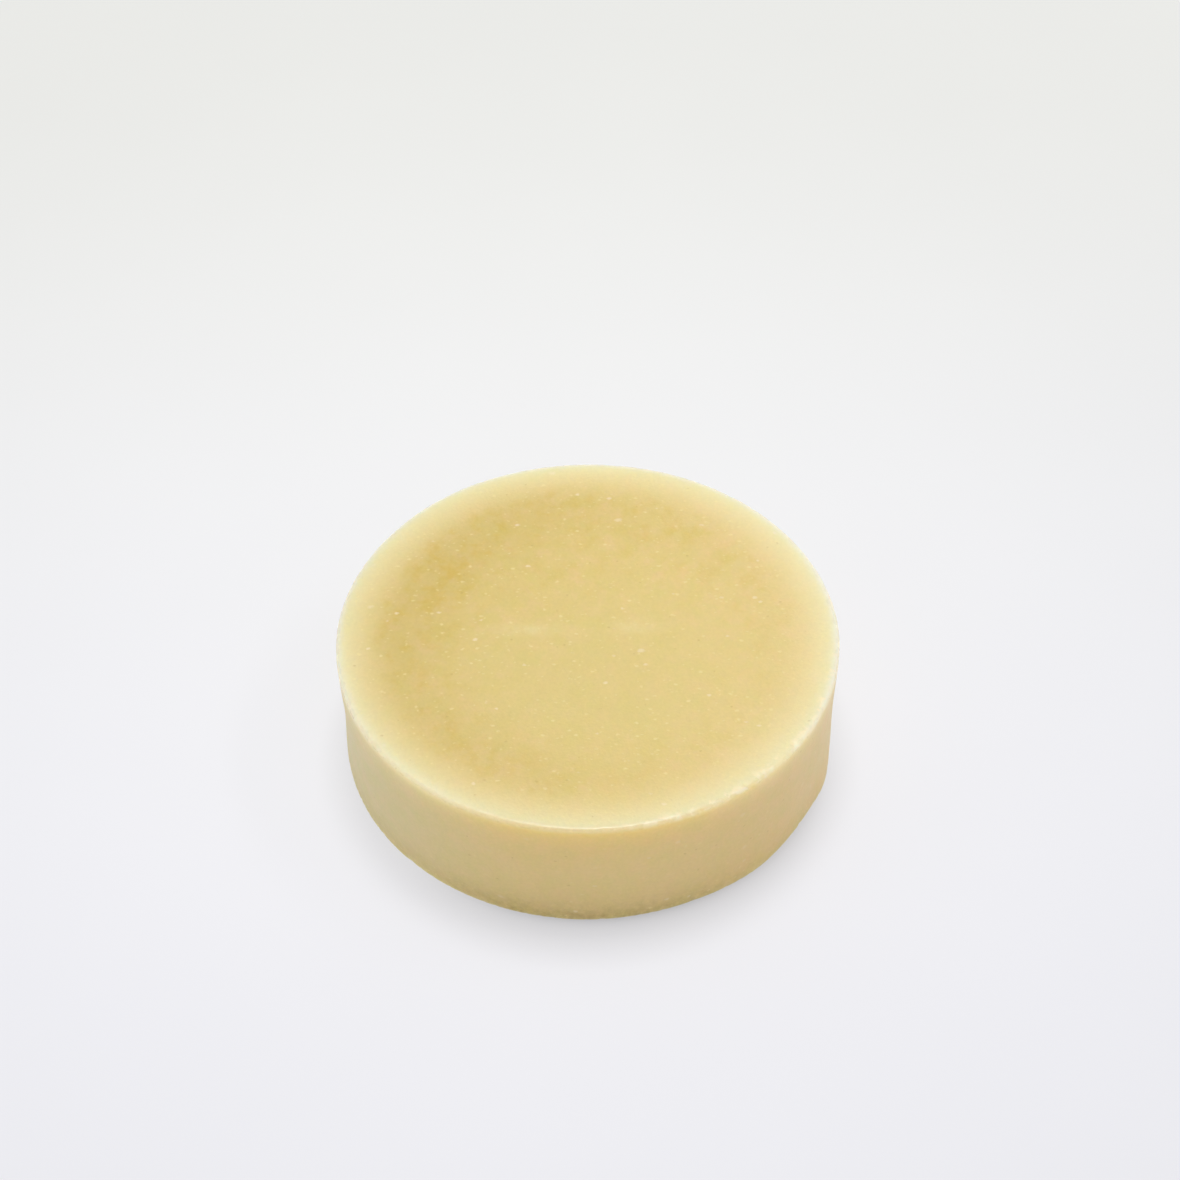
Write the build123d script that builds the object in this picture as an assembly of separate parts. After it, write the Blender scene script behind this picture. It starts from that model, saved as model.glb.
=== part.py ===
from build123d import *
import os

# A shaving soap puck: one solid disc of hard soap, with no casing, core or fastener.
#
# Frame: millimetres, +Z up. The origin is the centre of the flat base that the puck rests on, and
# the puck's round axis is Z. The puck looks the same from every side, so X and Y carry no meaning.

# Driving dimensions
PUCK_DIAMETER = 75.0
PUCK_HEIGHT = 20.8
TOP_EDGE_RADIUS = 0.5  # the edge of the lathering face, which is fairly crisp
BASE_EDGE_RADIUS = 0.6  # the edge that stood in the bottom of the mould

PARTS_FOLDER = "parts"


def make_soap_puck():
    """The soap itself: a straight-sided disc standing on Z = 0, with both of its edges rounded."""
    disc = Cylinder(
        radius=PUCK_DIAMETER / 2,
        height=PUCK_HEIGHT,
        align=(Align.CENTER, Align.CENTER, Align.MIN),
    )
    rims = disc.edges().filter_by(GeomType.CIRCLE).sort_by(Axis.Z)
    disc = fillet(rims[-1], radius=TOP_EDGE_RADIUS)
    rims = disc.edges().filter_by(GeomType.CIRCLE).sort_by(Axis.Z)
    return fillet(rims[0], radius=BASE_EDGE_RADIUS)


def main():
    os.makedirs(PARTS_FOLDER, exist_ok=True)
    nodes = {"soap_puck": make_soap_puck()}
    for name, solid in nodes.items():
        export_step(solid, os.path.join(PARTS_FOLDER, name + ".step"))
        print(name, "volume", round(solid.volume), "mm3, size", solid.bounding_box().size)


main()
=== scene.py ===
import math

import bpy
import numpy as np
from mathutils import Matrix, Vector, noise


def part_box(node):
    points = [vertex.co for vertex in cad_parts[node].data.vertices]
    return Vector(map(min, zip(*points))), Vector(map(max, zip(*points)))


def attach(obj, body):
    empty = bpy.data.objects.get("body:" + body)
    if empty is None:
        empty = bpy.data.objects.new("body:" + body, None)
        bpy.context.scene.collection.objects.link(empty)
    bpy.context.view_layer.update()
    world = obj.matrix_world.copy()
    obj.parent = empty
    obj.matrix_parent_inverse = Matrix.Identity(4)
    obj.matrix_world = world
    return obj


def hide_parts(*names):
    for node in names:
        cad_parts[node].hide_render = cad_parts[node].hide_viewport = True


# A shaving soap puck: one cast disc of pale yellow hard soap, lying on its base.
#
# Everything is in metres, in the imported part's own frame: Z up, with the origin at the base's centre.
# Bearings are degrees round Z from +X, so -90 is the front, where the camera stands.

MM = 0.001

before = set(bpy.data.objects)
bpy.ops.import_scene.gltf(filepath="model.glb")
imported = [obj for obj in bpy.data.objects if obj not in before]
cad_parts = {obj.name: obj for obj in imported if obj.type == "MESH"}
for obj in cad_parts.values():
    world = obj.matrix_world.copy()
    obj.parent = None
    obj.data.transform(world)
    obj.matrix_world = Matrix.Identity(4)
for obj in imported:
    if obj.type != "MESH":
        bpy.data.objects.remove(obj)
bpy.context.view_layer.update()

# ---------------------------------------------------------------- sizes

LOW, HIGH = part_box("soap_puck")
RADIUS = (HIGH.x - LOW.x) / 2
HEIGHT = HIGH.z - LOW.z
TOP_EDGE = 0.5 * MM
BASE_EDGE = 0.6 * MM

# Mesh density. A flat face is a square grid of cells pressed into a disc, so its outline has four sides
# of cells. The base is seen least, and has half as many cells a side.
TOP_CELLS = 200
BASE_CELLS = TOP_CELLS // 2
AROUND = 4 * TOP_CELLS
FIRST_BEARING = -45

# Between the two grids the disc is rings: a flat band inside the rim, the top edge, the wall and the base
# edge. A narrow seam on the base joins the last ring to the base's grid, which has half its vertices.
RIM_BAND = 1.5 * MM
RIM_BAND_STEPS = 6
TOP_EDGE_STEPS = 6
WALL_STEPS = 34
BASE_EDGE_STEPS = 5
BASE_SEAM = 0.6 * MM

# The casting's unevenness: (how far it stands out or in, how wide its swells are), both in millimetres.
BROAD_SWELLS = (0.10, 24.0)
SMALL_SWELLS = (0.03, 6.0)
FINE_SWELLS = (0.008, 1.6)
NOISE_LAYERS_APART = 17.0

# Where the wall isn't round: (bearing, its spread, height, its reach, how far it stands out or in). The
# angles are degrees and the lengths millimetres.
WALL_FORM = (
    (-20, 7, 0, 5, 0.50),
    (-50, 11, 0, 5, 0.34),
    (-88, 13, 0, 5, 0.15),
    (-118, 12, 0, 5, -0.08),
    (-171, 15, 10, 7, -0.42),
    (-9, 9, 11, 6, -0.10),
    (8, 26, 20, 5, 0.16),
)

# Dents lie only where the noise is above this, so they are scattered.
DENT_THRESHOLD = 0.12

# The handled rim has nicks all round, and deeper ones on its right front.
NICK_WIDTH = 1.0
NICK_REACH = 0.8
NICK_DEPTH = 0.12
WORN_DEPTH = 0.45
WORN_BEARING = -45.0
WORN_SPREAD = 24.0

# The foot left the mould a little rough.
PIT_WIDTH = 0.8
PIT_DEPTH = 0.35
PIT_HEIGHT = 2.0

# The camera looks down at the disc from the front.
CAMERA_LENS_MM = 70
CAMERA_SENSOR_MM = 36
CAMERA_ELEVATION = math.radians(45.6)
CAMERA_ROLL = math.radians(-0.57)
CAMERA_DISTANCE = 357.5 * MM
CAMERA_AIM = Vector((0.47 * MM, 14.97 * MM, 14.66 * MM))


# ---------------------------------------------------------------- the plain disc

def face_grid(cells, radius, height):
    """A flat round face's vertices: a square grid pressed into a disc, with cells of nearly even size."""
    side = np.linspace(-1, 1, cells + 1)
    a, b = (axis.ravel() for axis in np.meshgrid(side, side, indexing="ij"))
    wide = np.abs(a) > np.abs(b)
    reach = np.where(wide, a, b)
    divisor = np.where(reach == 0, 1, reach)
    bearing = np.where(wide, math.pi / 4 * b / divisor, math.pi / 2 - math.pi / 4 * a / divisor)
    x, y = radius * reach * np.cos(bearing), radius * reach * np.sin(bearing)
    return np.stack([x, y, np.full(x.size, height)], axis=1)


def grid_faces(cells, first):
    """The cells of a face grid whose vertices start at number first, seen from above."""
    row = cells + 1
    corners = [first + i * row + j for i in range(cells) for j in range(cells)]
    return [(k, k + row, k + row + 1, k + 1) for k in corners]


def grid_outline(cells, first):
    """The numbers of a face grid's outer vertices, anticlockwise from the first bearing."""
    row, n = cells + 1, cells
    right = [first + n * row + k for k in range(n)]
    back = [first + (n - k) * row + n for k in range(n)]
    left = [first + n - k for k in range(n)]
    front = [first + k * row for k in range(n)]
    return right + back + left + front


def ring(radius, height):
    """The vertices of a level circle, anticlockwise, starting where a face grid's outline does."""
    bearings = np.radians(FIRST_BEARING + 360 * np.arange(AROUND) / AROUND)
    return np.stack([radius * np.cos(bearings), radius * np.sin(bearings), np.full(AROUND, height)], axis=1)


def ring_profile():
    """(radius, height) of each ring, from the top face's rim band, over the edge and down to the base."""
    profile = []
    for k in range(1, RIM_BAND_STEPS + 1):
        profile.append((RADIUS - TOP_EDGE - RIM_BAND * (1 - k / RIM_BAND_STEPS), HEIGHT))
    for k in range(1, TOP_EDGE_STEPS + 1):
        turn = math.pi / 2 * k / TOP_EDGE_STEPS
        profile.append((RADIUS - TOP_EDGE * (1 - math.sin(turn)), HEIGHT - TOP_EDGE * (1 - math.cos(turn))))
    wall_top = HEIGHT - TOP_EDGE
    for k in range(1, WALL_STEPS + 1):
        profile.append((RADIUS, wall_top + (BASE_EDGE - wall_top) * k / WALL_STEPS))
    for k in range(1, BASE_EDGE_STEPS + 1):
        turn = math.pi / 2 * k / BASE_EDGE_STEPS
        profile.append((RADIUS - BASE_EDGE * (1 - math.cos(turn)), BASE_EDGE * (1 - math.sin(turn))))
    return profile


def band_faces(upper, lower):
    """The faces between two loops with equally many vertices, facing outwards."""
    count = len(upper)
    return [(upper[k], lower[k], lower[(k + 1) % count], upper[(k + 1) % count]) for k in range(count)]


def halving_faces(outer, inner):
    """The faces on the base between a loop and one with half as many vertices inside it, facing down."""
    faces = []
    for k in range(len(inner)):
        here, middle, after = outer[2 * k], outer[2 * k + 1], outer[(2 * k + 2) % len(outer)]
        near, far = inner[k], inner[(k + 1) % len(inner)]
        faces += [(here, near, middle), (middle, near, far), (middle, far, after)]
    return faces


def disc_mesh():
    """The plain disc as (vertices, faces): closed, with every face turned outwards."""
    blocks = [face_grid(TOP_CELLS, RADIUS - TOP_EDGE - RIM_BAND, HEIGHT)]
    blocks += [ring(radius, height) for radius, height in ring_profile()]
    blocks.append(face_grid(BASE_CELLS, RADIUS - BASE_EDGE - BASE_SEAM, 0.0))
    starts = np.cumsum([0] + [len(block) for block in blocks]).tolist()

    base_start = starts[-2]
    loops = [grid_outline(TOP_CELLS, 0)]
    loops += [list(range(start, start + AROUND)) for start in starts[1:-2]]
    faces = grid_faces(TOP_CELLS, 0)
    for upper, lower in zip(loops, loops[1:]):
        faces += band_faces(upper, lower)
    faces += halving_faces(loops[-1], grid_outline(BASE_CELLS, base_start))
    faces += [face[::-1] for face in grid_faces(BASE_CELLS, base_start)]
    return np.concatenate(blocks), faces


# ---------------------------------------------------------------- the casting's own surface

def swell(place, depth_and_width, layer):
    """Smooth rise and fall at a place in millimetres. Each layer has a pattern of its own."""
    depth, width = depth_and_width
    return depth * noise.noise(place / width + Vector((0, 0, NOISE_LAYERS_APART * layer)))


def dents(place, width, depth):
    """Scattered dents, as a depth in millimetres: nothing over most of the surface."""
    return depth * max(0.0, noise.noise(place / width) - DENT_THRESHOLD)


def near_bearing(place, bearing, spread):
    """1 at a bearing, and less the further round the disc the place is from it."""
    apart = (math.degrees(math.atan2(place.y, place.x)) - bearing + 180) % 360 - 180
    return math.exp(-(apart / spread) ** 2)


def relief(place, normal):
    """How far the soap stands out from the plain disc. place and the result are in millimetres."""
    out = swell(place, BROAD_SWELLS, 0) + swell(place, SMALL_SWELLS, 1) + swell(place, FINE_SWELLS, 2)
    on_wall = 1 - abs(normal.z)
    from_top = (HEIGHT / MM - place.z) / NICK_REACH
    from_rim = (RADIUS / MM - math.hypot(place.x, place.y)) / NICK_REACH
    on_rim = math.exp(-(max(from_top, 0) ** 2 + max(from_rim, 0) ** 2))
    worn = NICK_DEPTH + (WORN_DEPTH - NICK_DEPTH) * near_bearing(place, WORN_BEARING, WORN_SPREAD)
    out -= on_rim * dents(place, NICK_WIDTH, worn)
    out -= on_wall * math.exp(-place.z / PIT_HEIGHT) * dents(place, PIT_WIDTH, PIT_DEPTH)
    for bearing, spread, height, reach, depth in WALL_FORM:
        level = math.exp(-((place.z - height) / reach) ** 2)
        out += on_wall * depth * level * near_bearing(place, bearing, spread)
    return out


def make_puck():
    """The soap, as one closed mesh that stands for the CAD disc."""
    points, faces = disc_mesh()
    mesh = bpy.data.meshes.new("soap_puck_cast")
    mesh.from_pydata(points.tolist(), [], faces)
    normals = [normal.vector.copy() for normal in mesh.vertex_normals]
    for point, normal in zip(points, normals):
        point += np.array(normal) * relief(Vector(point) / MM, normal) * MM
    points[:, 2] = np.maximum(points[:, 2], 0.0)  # nothing sinks into the floor
    mesh.vertices.foreach_set("co", points.ravel())
    mesh.shade_smooth()
    puck = bpy.data.objects.new("soap_puck_cast", mesh)
    bpy.context.scene.collection.objects.link(puck)
    return puck


# ---------------------------------------------------------------- materials

def linear(red, green, blue):
    """A colour given as 0 to 255 on a screen, as the linear RGBA that shaders take."""
    def channel(value):
        value /= 255
        return value / 12.92 if value <= 0.04045 else ((value + 0.055) / 1.055) ** 2.4
    return (channel(red), channel(green), channel(blue), 1.0)


class Nodes:
    """One material's node tree, with a short call for each kind of node. Lengths in it are millimetres."""

    # The sockets of a Mix node that mixes colours.
    MIX_FACTOR, MIX_FIRST, MIX_SECOND, MIX_RESULT = 0, 6, 7, 2

    def __init__(self, name):
        self.material = bpy.data.materials.new(name)
        self.material.use_nodes = True
        self.tree = self.material.node_tree
        self.shader = self.tree.nodes["Principled BSDF"]

    def add(self, kind, **settings):
        node = self.tree.nodes.new("ShaderNode" + kind)
        for setting, value in settings.items():
            setattr(node, setting, value)
        return node

    def feed(self, socket, value):
        """Gives an input another node's output, or a plain value."""
        if isinstance(value, bpy.types.NodeSocket):
            self.tree.links.new(value, socket)
        else:
            socket.default_value = value

    def math(self, operation, *values):
        node = self.add("Math", operation=operation)
        for socket, value in zip(node.inputs, values):
            self.feed(socket, value)
        return node.outputs[0]

    def product(self, *values):
        """All the values multiplied together."""
        result = values[0]
        for value in values[1:]:
            result = self.math("MULTIPLY", result, value)
        return result

    def rescale(self, value, gain, offset):
        """value times gain, plus offset."""
        return self.math("MULTIPLY_ADD", value, gain, offset)

    def vector(self, operation, first, second=None, scale=None):
        node = self.add("VectorMath", operation=operation)
        self.feed(node.inputs[0], first)
        if second is not None:
            self.feed(node.inputs[1], second)
        if scale is not None:
            node.inputs["Scale"].default_value = scale
        return node.outputs["Value" if operation in ("LENGTH", "DISTANCE") else "Vector"]

    def place(self):
        """Where each point of the surface is, in millimetres."""
        return self.vector("SCALE", self.add("TexCoord").outputs["Object"], scale=1 / MM)

    def split(self, vector):
        node = self.add("SeparateXYZ")
        self.feed(node.inputs[0], vector)
        return node.outputs[:3]

    def step(self, value, low, high):
        """0 at low, 1 at high, and a smooth rise between them. low may be the larger of the two."""
        node = self.add("MapRange", interpolation_type="SMOOTHSTEP")
        self.feed(node.inputs["Value"], value)
        node.inputs["From Min"].default_value = low
        node.inputs["From Max"].default_value = high
        return node.outputs["Result"]

    def fade(self, value, length, power=1.0):
        """1 where value is 0, fading smoothly to 0 beyond length."""
        share = self.math("DIVIDE", self.math("MAXIMUM", value, 0.0), length)
        return self.math("EXPONENT", self.math("MULTIPLY", self.math("POWER", share, power), -1.0))

    def blotches(self, place, width, detail=2.0, grit=0.5, seed=0.0):
        """Noise from about -1 to 1, whose blotches are about width across. grit sharpens the finer ones."""
        node = self.add("TexNoise", noise_dimensions="4D")
        self.feed(node.inputs["Vector"], place)
        node.inputs["W"].default_value = seed
        node.inputs["Scale"].default_value = 1 / width
        node.inputs["Detail"].default_value = detail
        node.inputs["Roughness"].default_value = grit
        return self.rescale(node.outputs["Fac"], 4.0, -2.0)

    def flecks(self, place, spacing, radius):
        """Round grains set in the soap about spacing apart. The surface cuts those that it meets."""
        node = self.add("TexVoronoi", distance="EUCLIDEAN")
        self.feed(node.inputs["Vector"], place)
        node.inputs["Scale"].default_value = 1 / spacing
        away = self.math("MULTIPLY", node.outputs["Distance"], spacing)
        return self.step(away, 1.15 * radius, 0.35 * radius)

    def mix(self, factor, first, second):
        """first where factor is 0, and second where it is 1."""
        node = self.add("Mix", data_type="RGBA", clamp_factor=True)
        self.feed(node.inputs[self.MIX_FACTOR], factor)
        self.feed(node.inputs[self.MIX_FIRST], first)
        self.feed(node.inputs[self.MIX_SECOND], second)
        return node.outputs[self.MIX_RESULT]

    def brighten(self, colour, gain):
        """A colour times a number, or times another colour."""
        node = self.add("Mix", data_type="RGBA", blend_type="MULTIPLY", clamp_result=False)
        node.inputs[self.MIX_FACTOR].default_value = 1.0
        self.feed(node.inputs[self.MIX_FIRST], colour)
        self.feed(node.inputs[self.MIX_SECOND], gain)
        return node.outputs[self.MIX_RESULT]


# ---------------------------------------------------------------- soap
#
# In this part, edge is how far a place is in from the rim and drop is how far it is below the top face,
# both in millimetres. A pair of numbers is where something begins and where it is full.

SOAP_BODY = linear(230, 209, 137)
SOAP_BODY_RIGHT = linear(232, 211, 146)
SOAP_TAN = linear(211, 184, 104)
SOAP_GOLD = linear(217, 187, 84)
SOAP_HAZE = linear(227, 207, 138)
SOAP_BLUSH = linear(240, 210, 158)
SOAP_SMEAR = linear(240, 226, 172)
# Painted light: the pale cream that the rim's last millimetres are mixed towards, for light that comes
# through the thin edge.
SOAP_RIM_GLOW_CREAM = linear(246, 241, 210)
# Painted highlight: the fine line along the rim, at the front, near and far.
SOAP_RIM_HIGHLIGHT_FRONT = linear(238, 210, 158)
SOAP_RIM_HIGHLIGHT_NEAR = linear(250, 224, 162)
SOAP_RIM_HIGHLIGHT_FAR = linear(251, 242, 216)
# Painted sheen on the rim's left front.
SOAP_RIM_SHEEN_LEFT = linear(255, 240, 200)
# Painted glints on the chipped rim, partly paler broken soap.
SOAP_CHIP_GLINT = linear(255, 237, 200)
# Painted light: the emission colour that makes the thin rim glow and the chips glint.
SOAP_PAINTED_EDGE_GLOW = (1.0, 0.35, 0.0, 1.0)
SOAP_WALL = linear(237, 214, 148)
SOAP_WALL_LEFT = linear(231, 214, 153)
SOAP_WALL_RIGHT = linear(234, 207, 142)
# Painted glow under the rim, of light that comes through from the top: golden at the front and the back,
# pale at the sides.
SOAP_UNDER_RIM_GLOW = linear(243, 215, 133)
SOAP_UNDER_RIM_GLOW_SIDES = linear(255, 240, 192)
# Painted contact shade at the foot, with some grime.
SOAP_FOOT_SHADE_AND_GRIME = linear(114, 100, 38)
SOAP_GREENER = (0.97, 1.0, 0.93, 1.0)
SOAP_PINKER = (1.03, 1.0, 1.07, 1.0)
SPECK = linear(247, 232, 175)
PALE_SPECK = linear(252, 236, 212)
PORE = linear(186, 156, 84)

# The pale haze in the middle of the top is an ellipse, given by its centre and its half lengths in x and
# y. The bands are shares of those half lengths, and the haze wanders in and out by a share of them too.
HAZE_CENTRE = (3.5, -9.5, 0.0)
HAZE_REACH = (22.0, 14.5)
HAZE_WANDER = 0.15
HAZE_BAND = (1.7, 0.2)
HAZE_STRENGTH = 0.7

# The mottled ring lies between the haze and the pale rim, and is stronger on the left.
INSIDE_RIM_BAND = (3.5, 9.0)
RING_BAND = (0.45, 1.85)
RING_FULL_BAND = (22.0, 11.0)
RING_LEAST = 0.4
LEFT_BAND = (20.0, -25.0)
TAN_STRENGTH, TAN_MORE_ON_LEFT = 0.15, 0.31
GOLD_STRENGTH, GOLD_MORE_ON_LEFT = 0.36, 0.48
BLUSH_STRENGTH = 0.55
BLUSH_LESS_IN_HAZE = 0.8
# Painted light: the top is brightened towards the right, where more light falls, by this share per
# millimetre.
PAINTED_LIGHT_RIGHT_GAIN_PER_MM = 0.0010

# Two faint smears on the top: (middle, half its length, half its width, strength).
SMEARS = (((-9.1, 0.7, 0.0), 5.8, 1.1, 0.60), ((7.2, 1.2, 0.0), 4.2, 1.5, 0.46))

# Painted light: the rim is paled over its last few millimetres, where light comes through the thin edge,
# and over fewer of them on the left front.
RIM_GLOW_REACH = 4.65
RIM_GLOW_REACH_LESS = 0.75
RIM_GLOW_STRENGTH = 0.58

# Grains, as (how far apart, radius, strength).
DARK_PORES = (2.3, 0.20, 0.3)
SMALL_GRAINS = ((1.0, 0.18, 0.35), (1.8, 0.27, 0.48))
LARGE_GRAINS = ((3.4, 0.32, 0.55), (6.5, 0.50, 0.45))

SOAP_ROUGHNESS = 0.42
RIM_POLISH = 0.16
# Painted light: how strongly the rim's glow and the chips' glints are emitted.
PAINTED_EDGE_GLOW_STRENGTH = 0.06
SUBSURFACE_REACH = 7.0 * MM


def tinge(g, place, colour, width, seed, evenness):
    """Faint greenish and pinkish patches. The larger evenness is, the fainter they are."""
    patches = g.step(g.blotches(place, width, detail=3.0, grit=0.6, seed=seed), -evenness, evenness)
    return g.brighten(colour, g.mix(patches, SOAP_GREENER, SOAP_PINKER))


def haze_distance(g, place):
    """How far a place is from the centre of the haze, as a share of the haze's reach."""
    offset = g.vector("SUBTRACT", place, HAZE_CENTRE)
    offset = g.vector("MULTIPLY", offset, (1 / HAZE_REACH[0], 1 / HAZE_REACH[1], 0.0))
    return g.rescale(g.blotches(place, 9.0, seed=1.0), HAZE_WANDER, g.vector("LENGTH", offset))


def add_mottles(g, place, x, edge, away, colour):
    """The ring of tan soap with golden mottles in it."""
    to_left = g.step(x, *LEFT_BAND)
    outer = g.rescale(g.step(edge, *RING_FULL_BAND), 1 - RING_LEAST, RING_LEAST)
    ring = g.product(g.step(edge, *INSIDE_RIM_BAND), g.step(away, *RING_BAND), outer)
    tan = g.product(ring, g.rescale(to_left, TAN_MORE_ON_LEFT, TAN_STRENGTH))
    clusters = g.step(g.blotches(place, 7.0, seed=2.0), -1.4, 0.5)
    mottles = g.step(g.blotches(place, 2.2, detail=4.0, grit=0.6, seed=4.0), -0.4, 0.9)
    gold = g.product(ring, mottles, clusters, g.rescale(to_left, GOLD_MORE_ON_LEFT, GOLD_STRENGTH))
    return g.mix(gold, g.mix(tan, colour, SOAP_TAN), SOAP_GOLD)


def add_smears(g, place, colour):
    """The faint pale smears near the middle, patchy like a rubbed mark."""
    patchy = g.step(g.blotches(place, 1.5, detail=3.0, seed=6.0), -1.3, 0.8)
    for middle, length, width, strength in SMEARS:
        offset = g.vector("MULTIPLY", g.vector("SUBTRACT", place, middle), (1 / length, 1 / width, 0.0))
        smear = g.fade(g.vector("LENGTH", offset), 1.0, power=2.0)
        colour = g.mix(g.product(smear, patchy, strength), colour, SOAP_SMEAR)
    return colour


def soap_top_colour(g, place, x, edge):
    """The top face: a pale hazy middle, with blushing patches and golden mottles round it, and painted
    light that brightens it towards the right.
    """
    away = haze_distance(g, place)
    haze = g.step(away, *HAZE_BAND)
    blush = g.step(g.blotches(place, 2.4, detail=4.0, grit=0.6, seed=3.0), -0.2, 0.9)
    blush = g.product(blush, g.step(edge, *INSIDE_RIM_BAND), g.rescale(haze, -BLUSH_LESS_IN_HAZE, 1.0))
    colour = g.mix(g.step(x, 0.0, 30.0), SOAP_BODY, SOAP_BODY_RIGHT)
    colour = g.mix(g.product(haze, HAZE_STRENGTH), colour, SOAP_HAZE)
    colour = g.mix(g.product(blush, BLUSH_STRENGTH), colour, SOAP_BLUSH)
    colour = add_mottles(g, place, x, edge, away, colour)
    colour = add_smears(g, place, colour)
    colour = tinge(g, place, colour, width=4.0, seed=12.0, evenness=1.6)
    # Painted light: brighter towards the right.
    return g.brighten(colour, g.rescale(x, PAINTED_LIGHT_RIGHT_GAIN_PER_MM, 1.0))


def soap_wall_colour(g, place, x, z, drop):
    """The wall: tan, a little greener on the left, and darker towards the foot: painted contact shade,
    strongest at the front, with some grime where it met the mould.

    Under the rim a painted glow, of light that comes through from the top, is golden at the front and the
    back, and pale at the sides.
    """
    front = g.fade(g.math("ABSOLUTE", x), 20.0, power=3.0)
    sides = g.math("SUBTRACT", 1.0, front)
    colour = g.mix(g.step(x, -8.0, -30.0), SOAP_WALL, SOAP_WALL_LEFT)
    colour = g.mix(g.step(x, 2.0, 28.0), colour, SOAP_WALL_RIGHT)
    # Painted glow under the rim, golden at the front and the back, pale at the sides.
    colour = g.mix(g.product(g.fade(drop, 3.0), front), colour, SOAP_UNDER_RIM_GLOW)
    colour = g.mix(g.product(g.fade(drop, 2.8), sides, 0.58), colour, SOAP_UNDER_RIM_GLOW_SIDES)
    # Painted contact shade towards the foot, strongest at the front, with some grime.
    shade_and_grime = g.rescale(g.blotches(place, 1.2, detail=4.0, grit=0.7, seed=5.0), 0.35, 0.75)
    depth = g.rescale(g.step(x, *LEFT_BAND), 0.13, g.rescale(front, 0.52, 0.34))
    colour = g.mix(g.product(g.fade(z, 2.4), depth, shade_and_grime), colour, SOAP_FOOT_SHADE_AND_GRIME)
    return tinge(g, place, colour, width=3.0, seed=11.0, evenness=1.0)


def rim_highlight_line(g, x, y, edge, drop, colour):
    """Paints a fine highlight line all round the rim. It is wider on the right, and palest at the back."""
    front = g.fade(g.math("ABSOLUTE", x), 18.0, power=3.0)
    near = g.mix(front, SOAP_RIM_HIGHLIGHT_NEAR, SOAP_RIM_HIGHLIGHT_FRONT)
    pale = g.mix(g.step(y, -30.0, -10.0), near, SOAP_RIM_HIGHLIGHT_FAR)
    width = g.rescale(g.step(x, 12.0, 34.0), 0.3, 0.6)
    line = g.product(g.fade(edge, width, power=2.0), g.fade(drop, 0.7, power=2.0), 0.75)
    return g.mix(line, colour, pale)


def rim_sheen_band(g, x, y, edge, drop, colour):
    """Paints a wider sheen on the rim on the left front."""
    on_left = g.step(g.rescale(y, -0.55, g.product(x, -0.85)), 29.0, 36.0)
    band = g.product(g.fade(edge, 1.4, power=2.0), g.fade(drop, 1.0, power=2.0), on_left, 0.6)
    return g.mix(band, colour, SOAP_RIM_SHEEN_LEFT)


def rim_chip_glints(g, place, x, y, edge, drop):
    """Where glints are painted on the chipped rim, on the right front: 1 in a chip and 0 elsewhere. The
    paleness there is painted highlight, and partly paler broken soap.
    """
    on_right = g.step(g.math("SUBTRACT", x, y), 36.0, 48.0)
    chip_glints = g.step(g.blotches(place, 2.0, detail=4.0, grit=0.6, seed=10.0), -0.1, 0.4)
    return g.product(g.fade(edge, 1.2, power=3.0), g.fade(drop, 0.6, power=2.0), chip_glints, on_right)


def add_specks(g, place, z, edge, colour):
    """Dark pores, and grains of paler soap in four sizes, the larger ones nearly white."""
    warp = g.add("TexNoise")
    g.feed(warp.inputs["Vector"], place)
    warp.inputs["Scale"].default_value = 1.6
    loose = g.vector("ADD", place, g.vector("SCALE", warp.outputs["Color"], scale=0.5))
    loose = g.vector("MULTIPLY", loose, (0.7, 1.0, 1.0))
    on_face = g.rescale(g.step(edge, -0.5, 2.0), 0.7, 0.3)
    amount = g.math("MAXIMUM", on_face, g.fade(z, 3.5, power=2.0))
    spacing, radius, strength = DARK_PORES
    colour = g.mix(g.product(g.flecks(loose, spacing, radius), strength), colour, PORE)
    for grains, shade in ((SMALL_GRAINS, SPECK), (LARGE_GRAINS, PALE_SPECK)):
        for spacing, radius, strength in grains:
            colour = g.mix(g.product(g.flecks(loose, spacing, radius), strength, amount), colour, shade)
    return colour


def soap_surface(g, place, edge, drop):
    """Satin, smoother on the handled rim, with a very fine grain."""
    rim = g.product(g.fade(edge, 1.3, power=2.0), g.fade(drop, 1.3, power=2.0))
    rough = g.rescale(g.blotches(place, 1.5, detail=3.0, seed=8.0), 0.05, SOAP_ROUGHNESS)
    g.feed(g.shader.inputs["Roughness"], g.rescale(rim, -RIM_POLISH, rough))
    bump = g.add("Bump")
    bump.inputs["Strength"].default_value = 0.5
    bump.inputs["Distance"].default_value = 0.02 * MM
    g.feed(bump.inputs["Height"], g.blotches(place, 0.45, detail=4.0, seed=9.0))
    g.feed(g.shader.inputs["Normal"], bump.outputs["Normal"])


def soap_depth(g, edge, drop, chip_glints):
    """Light that passes through the soap, and an emission that paints a weak warm glow on the thin rim and
    glints on the chips.
    """
    glow = g.product(g.fade(edge, 0.45, power=2.0), g.fade(drop, 1.1, power=2.0))
    glow = g.math("MAXIMUM", glow, g.product(chip_glints, 1.3))
    g.feed(g.shader.inputs["Emission Color"], g.brighten(SOAP_PAINTED_EDGE_GLOW, glow))
    g.shader.inputs["Emission Strength"].default_value = PAINTED_EDGE_GLOW_STRENGTH
    g.shader.inputs["IOR"].default_value = 1.45
    g.shader.inputs["Subsurface Weight"].default_value = 1.0
    g.shader.inputs["Subsurface Radius"].default_value = (1.0, 0.8, 0.6)
    g.shader.inputs["Subsurface Scale"].default_value = SUBSURFACE_REACH


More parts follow.
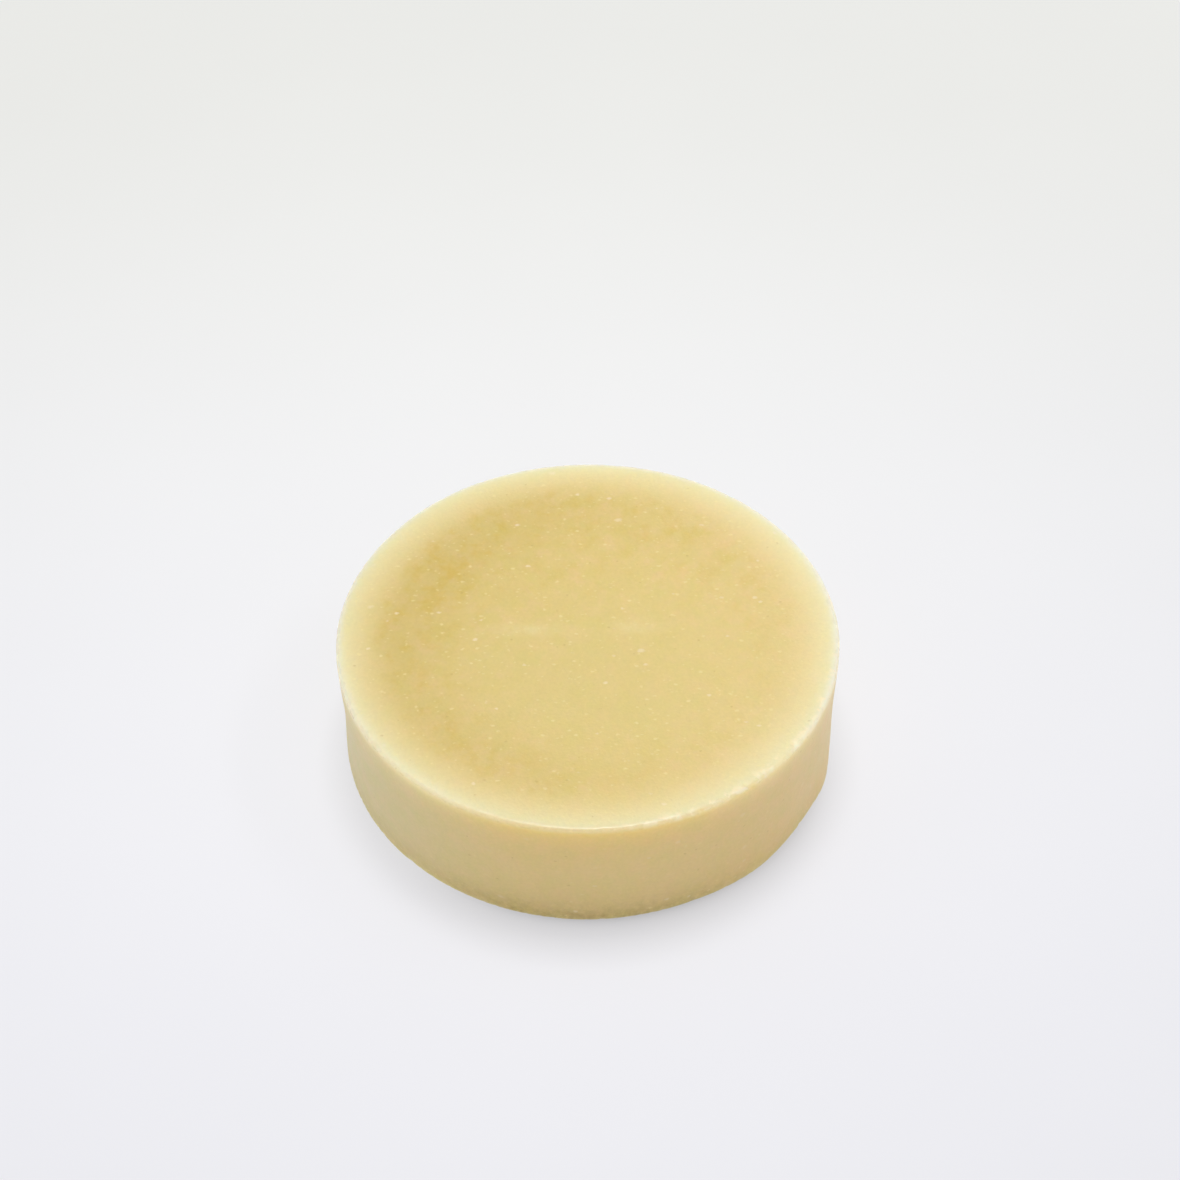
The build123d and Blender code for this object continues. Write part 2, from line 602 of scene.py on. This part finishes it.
def make_soap_material():
    g = Nodes("soap")
    place = g.place()
    x, y, z = g.split(place)
    edge = g.math("SUBTRACT", RADIUS / MM, g.vector("LENGTH", g.vector("MULTIPLY", place, (1.0, 1.0, 0.0))))
    drop = g.math("SUBTRACT", HEIGHT / MM, z)

    top = soap_top_colour(g, place, x, edge)
    wall = soap_wall_colour(g, place, x, z, drop)
    colour = g.mix(g.step(drop, 0.3, 1.0), top, wall)
    # Painted light: the rim pales where light comes through the thin edge, less far on the left front.
    reach = g.rescale(g.step(g.math("ADD", x, y), 0.0, -34.0), -RIM_GLOW_REACH_LESS, RIM_GLOW_REACH)
    pale = g.product(g.fade(edge, reach, power=1.6), g.fade(drop, 0.6, power=2.0), RIM_GLOW_STRENGTH)
    colour = g.mix(pale, colour, SOAP_RIM_GLOW_CREAM)
    # Painted highlight along the rim.
    colour = rim_highlight_line(g, x, y, edge, drop, colour)
    # Painted sheen on the rim's left front.
    colour = rim_sheen_band(g, x, y, edge, drop, colour)
    # Painted glints where the rim is chipped, partly paler broken soap.
    chip_glints = rim_chip_glints(g, place, x, y, edge, drop)
    colour = g.mix(g.product(chip_glints, 0.9), colour, SOAP_CHIP_GLINT)
    colour = add_specks(g, place, z, edge, colour)
    grain = g.rescale(g.blotches(place, 0.5, detail=3.0, seed=7.0), 0.03, 1.0)
    g.feed(g.shader.inputs["Base Color"], g.brighten(colour, grain))

    soap_surface(g, place, edge, drop)
    soap_depth(g, edge, drop, chip_glints)
    return g.material


# ---------------------------------------------------------------- floor

FLOOR_HALF = 3.0
FLOOR_DARKER = (0.26, 0.26, 0.27, 1.0)
FLOOR_LIGHTER = (0.28, 0.28, 0.29, 1.0)
FLOOR_ROUGHNESS = 0.9

# The floor's own glow is bluish near the front and warm at the back, and weaker far from its centre.
GLOW_STRENGTH = 0.625
GLOW_FRONT = (0.985, 0.985, 1.035, 1.0)
GLOW_BACK = (0.985, 0.99, 0.93, 1.0)
GLOW_FRONT_TO_BACK = (-60.0, 200.0)
GLOW_CENTRE = (-15.0, 20.0, 0.0)
GLOW_FALLS = (30.0, 190.0)
GLOW_FAR_GAIN = (0.89, 0.89, 0.89, 1.0)

# Painted contact shadow: the floor's glow is dimmed close to the puck's foot: (how far this reaches, how
# much it dims).
PAINTED_CONTACT_SHADOW = (1.4, 0.27)
PAINTED_WIDE_SHADOW = (10.0, 0.05)


def floor_glow(g, place):
    """The glow's colour over the floor, with a painted contact shadow at the puck's foot on the front and
    right.
    """
    x, y, _ = g.split(place)
    tint = g.mix(g.step(y, *GLOW_FRONT_TO_BACK), GLOW_FRONT, GLOW_BACK)
    away = g.vector("DISTANCE", place, GLOW_CENTRE)
    glow = g.mix(g.step(away, *GLOW_FALLS), tint, g.brighten(tint, GLOW_FAR_GAIN))
    clear = g.math("SUBTRACT", g.vector("LENGTH", place), RADIUS / MM)
    in_shade = g.step(g.rescale(x, 0.35, g.product(y, -1.0)), 14.0, 42.0)
    contact, wide = (g.product(g.fade(clear, reach), share) for reach, share in (PAINTED_CONTACT_SHADOW, PAINTED_WIDE_SHADOW))
    # Painted contact shadow on the floor's glow.
    painted_shadow = g.product(g.math("ADD", contact, wide), in_shade)
    return g.brighten(glow, g.math("SUBTRACT", 1.0, painted_shadow))


def make_floor_material():
    """A pale backdrop table that glows a little, so that shadows on it are faint."""
    g = Nodes("floor")
    place = g.place()
    tone = g.step(g.blotches(place, 40.0, detail=3.0), -3.0, 3.0)
    g.feed(g.shader.inputs["Base Color"], g.mix(tone, FLOOR_DARKER, FLOOR_LIGHTER))
    g.shader.inputs["Roughness"].default_value = FLOOR_ROUGHNESS
    g.feed(g.shader.inputs["Emission Color"], floor_glow(g, place))
    g.shader.inputs["Emission Strength"].default_value = GLOW_STRENGTH
    return g.material


def make_floor():
    half = FLOOR_HALF
    corners = [(-half, -half, 0), (half, -half, 0), (half, half, 0), (-half, half, 0)]
    mesh = bpy.data.meshes.new("floor")
    mesh.from_pydata(corners, [], [(0, 1, 2, 3)])
    mesh.materials.append(make_floor_material())
    floor = bpy.data.objects.new("floor", mesh)
    bpy.context.scene.collection.objects.link(floor)


# ---------------------------------------------------------------- camera and light

# The world is pale at the horizon and greyer overhead. The band is the upward part of the direction.
WORLD_AT_HORIZON = 0.78
WORLD_OVERHEAD = 0.393
WORLD_BAND = (0.02, 0.32)

# Rectangular lamps: (name, place, size, power in watts).
SOFTBOXES = (
    ("overhead", (0.0, 0.20, 0.85), (0.28, 0.26), 3.9),
    ("right", (0.60, 0.08, 0.75), (0.55, 0.10), 0.9),
)


def make_camera():
    data = bpy.data.cameras.new("camera")
    data.lens = CAMERA_LENS_MM
    data.sensor_width = CAMERA_SENSOR_MM
    data.clip_start = 0.01
    data.clip_end = 20
    camera = bpy.data.objects.new("camera", data)
    back = Vector((0, -math.cos(CAMERA_ELEVATION), math.sin(CAMERA_ELEVATION)))
    turn = Matrix.Rotation(math.pi / 2 - CAMERA_ELEVATION, 4, "X") @ Matrix.Rotation(CAMERA_ROLL, 4, "Z")
    camera.matrix_world = Matrix.Translation(CAMERA_AIM + back * CAMERA_DISTANCE) @ turn
    bpy.context.scene.collection.objects.link(camera)
    bpy.context.scene.camera = camera


def make_world():
    world = bpy.data.worlds.new("studio")
    world.use_nodes = True
    tree = world.node_tree
    split = tree.nodes.new("ShaderNodeSeparateXYZ")
    tree.links.new(tree.nodes.new("ShaderNodeTexCoord").outputs["Generated"], split.inputs[0])
    level = tree.nodes.new("ShaderNodeMapRange")
    level.interpolation_type = "SMOOTHSTEP"
    level.inputs["From Min"].default_value, level.inputs["From Max"].default_value = WORLD_BAND
    level.inputs["To Min"].default_value = WORLD_AT_HORIZON
    level.inputs["To Max"].default_value = WORLD_OVERHEAD
    tree.links.new(split.outputs["Z"], level.inputs["Value"])
    background = tree.nodes["Background"]
    background.inputs["Color"].default_value = (1.0, 1.0, 1.0, 1.0)
    tree.links.new(level.outputs["Result"], background.inputs["Strength"])
    bpy.context.scene.world = world


def make_softbox(name, place, size, power):
    """A rectangular lamp at a place, turned to face the puck."""
    data = bpy.data.lights.new(name, "AREA")
    data.shape = "RECTANGLE"
    data.size, data.size_y = size
    data.energy = power
    softbox = bpy.data.objects.new(name, data)
    softbox.location = place
    softbox.rotation_euler = Vector(place).to_track_quat("Z", "Y").to_euler()
    bpy.context.scene.collection.objects.link(softbox)


# ---------------------------------------------------------------- the scene

make_camera()
make_floor()
make_world()
for name, place, size, power in SOFTBOXES:
    make_softbox(name, place, size, power)
bpy.context.scene.view_settings.view_transform = "Standard"

puck = make_puck()
puck.data.materials.append(make_soap_material())
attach(puck, "root")
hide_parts("soap_puck")
